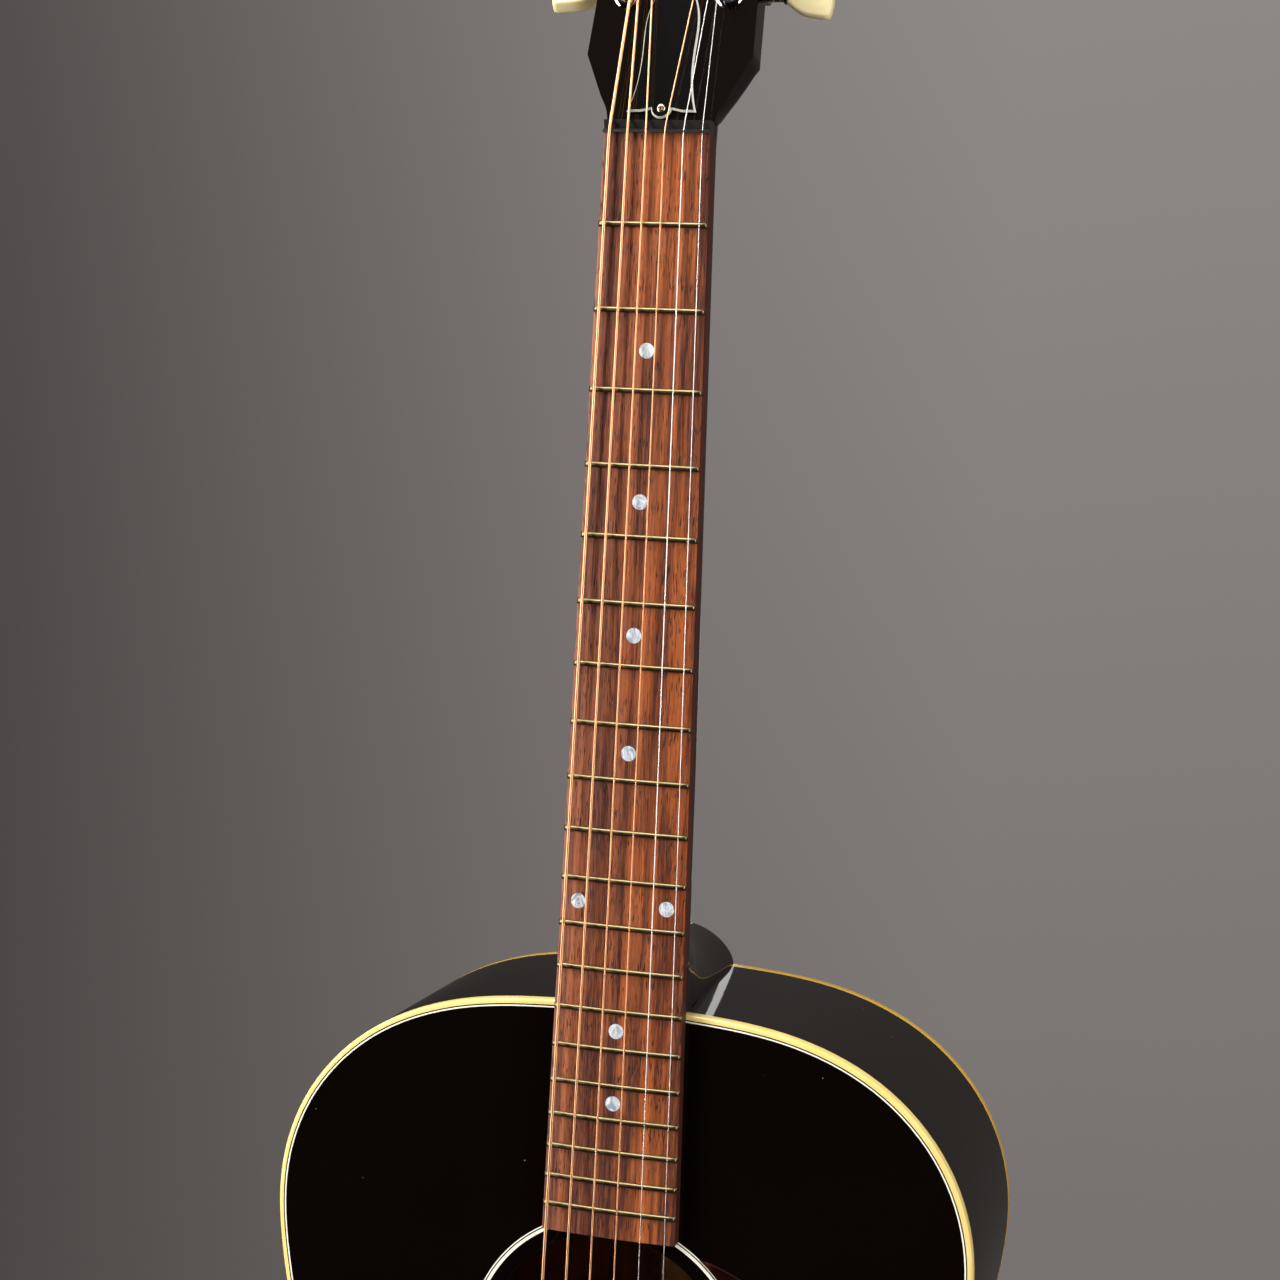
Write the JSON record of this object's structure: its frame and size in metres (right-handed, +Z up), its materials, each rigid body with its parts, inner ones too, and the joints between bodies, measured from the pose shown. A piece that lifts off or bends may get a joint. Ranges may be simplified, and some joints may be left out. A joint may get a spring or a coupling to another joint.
{
  "type": "acoustic guitar",
  "caption": "Steel-string acoustic guitar with round shoulders, bound black body, rosewood fingerboard, bell-shaped rod cover and geared tuners.",
  "frame": {"origin": "on the soundboard's outer plane under the front edge of the nut, on the centre line: where a hanger holds the neck", "axes": "+Z up the neck to the headstock, +Y from the soundboard to the back, +X to the treble side (the viewer's right)"},
  "size_m": [0.4076, 0.1368, 1.0413],
  "materials": {
    "black_lacquer": "gloss",
    "spruce": "satin",
    "mahogany": "satin",
    "rosewood": "satin",
    "maple": "satin",
    "cream_binding": "gloss",
    "white_plastic": "gloss",
    "black_plastic": "gloss",
    "dark_nut": "satin",
    "tortoise": "gloss",
    "pearl": "gloss",
    "bone": "satin",
    "fret_nickel": "polished",
    "chrome": "polished",
    "steel": "satin",
    "brass": "satin",
    "bronze_string": "polished",
    "steel_string": "polished",
    "button_cream": "gloss"
  },
  "bodies": {
    "root": {"soundboard": "black_lacquer", "back_plate": "black_lacquer", "side_bass": "black_lacquer", "side_treble": "black_lacquer", "neck": "black_lacquer", "headstock_veneer": "black_lacquer", "top_binding": "cream_binding", "back_binding": "cream_binding", "purfling_black": "black_plastic", "purfling_white": "white_plastic", "rosette_white": "white_plastic", "rosette_black": "black_plastic", "neck_block": "mahogany", "tail_block": "mahogany", "top_lining": "mahogany", "back_lining": "mahogany", "x_brace": "spruce", "top_braces": "spruce", "back_braces": "spruce", "bridge_plate": "maple", "pickguard": "tortoise", "bridge": "rosewood", "saddle": "bone", "fingerboard": "rosewood", "frets": "fret_nickel", "fingerboard_dots": "pearl", "side_dots": "white_plastic", "nut": "dark_nut", "truss_rod": "steel", "truss_rod_cover": "black_plastic", "cover_screws": "chrome", "end_pin": "button_cream", "tuner_housings": "chrome", "tuner_bushings": "chrome", "tuner_screws": "chrome", "string_1": "steel_string", "string_2": "steel_string", "string_3": "bronze_string", "string_4": "bronze_string", "string_5": "bronze_string", "string_6": "bronze_string"},
    "truss_nut": {"truss_rod_nut": "brass"},
    "pin_1": {"bridge_pin_1": "black_plastic"},
    "pin_2": {"bridge_pin_2": "black_plastic"},
    "pin_3": {"bridge_pin_3": "black_plastic"},
    "pin_4": {"bridge_pin_4": "black_plastic"},
    "pin_5": {"bridge_pin_5": "black_plastic"},
    "pin_6": {"bridge_pin_6": "black_plastic"},
    "knob_1": {"tuner_knob_1": "button_cream"},
    "post_1": {"tuner_post_1": "chrome"},
    "knob_2": {"tuner_knob_2": "button_cream"},
    "post_2": {"tuner_post_2": "chrome"},
    "knob_3": {"tuner_knob_3": "button_cream"},
    "post_3": {"tuner_post_3": "chrome"},
    "knob_4": {"tuner_knob_4": "button_cream"},
    "post_4": {"tuner_post_4": "chrome"},
    "knob_5": {"tuner_knob_5": "button_cream"},
    "post_5": {"tuner_post_5": "chrome"},
    "knob_6": {"tuner_knob_6": "button_cream"},
    "post_6": {"tuner_post_6": "chrome"}
  },
  "joints": [
    {"name": "truss_nut_turn", "type": "hinge", "parent": "root", "child": "truss_nut", "pos_m": [0, 0.0094, 0.0195], "axis": [0, 0, 1], "range_deg": [-180, 180]},
    {"name": "pin_1_pull", "type": "slide", "parent": "root", "child": "pin_1", "axis": [0, -1, 0], "range_m": [0, 0.03]},
    {"name": "pin_2_pull", "type": "slide", "parent": "root", "child": "pin_2", "axis": [0, -1, 0], "range_m": [0, 0.03]},
    {"name": "pin_3_pull", "type": "slide", "parent": "root", "child": "pin_3", "axis": [0, -1, 0], "range_m": [0, 0.03]},
    {"name": "pin_4_pull", "type": "slide", "parent": "root", "child": "pin_4", "axis": [0, -1, 0], "range_m": [0, 0.03]},
    {"name": "pin_5_pull", "type": "slide", "parent": "root", "child": "pin_5", "axis": [0, -1, 0], "range_m": [0, 0.03]},
    {"name": "pin_6_pull", "type": "slide", "parent": "root", "child": "pin_6", "axis": [0, -1, 0], "range_m": [0, 0.03]},
    {"name": "knob_1_turn", "type": "hinge", "parent": "root", "child": "knob_1", "pos_m": [0.0409, 0.03658, 0.05896], "axis": [1, 0, 0], "continuous": true},
    {"name": "post_1_turn", "type": "hinge", "parent": "root", "child": "post_1", "pos_m": [0.0209, 0.01573, 0.05645], "axis": [0, -0.9563, 0.2924], "continuous": true},
    {"name": "knob_2_turn", "type": "hinge", "parent": "root", "child": "knob_2", "pos_m": [0.0396, 0.04739, 0.09435], "axis": [1, 0, 0], "continuous": true},
    {"name": "post_2_turn", "type": "hinge", "parent": "root", "child": "post_2", "pos_m": [0.0196, 0.02655, 0.09183], "axis": [0, -0.9563, 0.2924], "continuous": true},
    {"name": "knob_3_turn", "type": "hinge", "parent": "root", "child": "knob_3", "pos_m": [0.0383, 0.05821, 0.12973], "axis": [1, 0, 0], "continuous": true},
    {"name": "post_3_turn", "type": "hinge", "parent": "root", "child": "post_3", "pos_m": [0.0183, 0.03737, 0.12722], "axis": [0, -0.9563, 0.2924], "continuous": true},
    {"name": "knob_4_turn", "type": "hinge", "parent": "root", "child": "knob_4", "pos_m": [-0.0383, 0.05821, 0.12973], "axis": [1, 0, 0], "continuous": true},
    {"name": "post_4_turn", "type": "hinge", "parent": "root", "child": "post_4", "pos_m": [-0.0183, 0.03737, 0.12722], "axis": [0, -0.9563, 0.2924], "continuous": true},
    {"name": "knob_5_turn", "type": "hinge", "parent": "root", "child": "knob_5", "pos_m": [-0.0396, 0.04739, 0.09435], "axis": [1, 0, 0], "continuous": true},
    {"name": "post_5_turn", "type": "hinge", "parent": "root", "child": "post_5", "pos_m": [-0.0196, 0.02655, 0.09183], "axis": [0, -0.9563, 0.2924], "continuous": true},
    {"name": "knob_6_turn", "type": "hinge", "parent": "root", "child": "knob_6", "pos_m": [-0.0409, 0.03658, 0.05896], "axis": [1, 0, 0], "continuous": true},
    {"name": "post_6_turn", "type": "hinge", "parent": "root", "child": "post_6", "pos_m": [-0.0209, 0.01573, 0.05645], "axis": [0, -0.9563, 0.2924], "continuous": true}
  ],
  "couplings": [
    {"joint": "post_1_turn", "follows": "knob_1_turn", "ratio": 0.066667},
    {"joint": "post_2_turn", "follows": "knob_2_turn", "ratio": 0.066667},
    {"joint": "post_3_turn", "follows": "knob_3_turn", "ratio": 0.066667},
    {"joint": "post_4_turn", "follows": "knob_4_turn", "ratio": -0.066667},
    {"joint": "post_5_turn", "follows": "knob_5_turn", "ratio": -0.066667},
    {"joint": "post_6_turn", "follows": "knob_6_turn", "ratio": -0.066667}
  ]
}
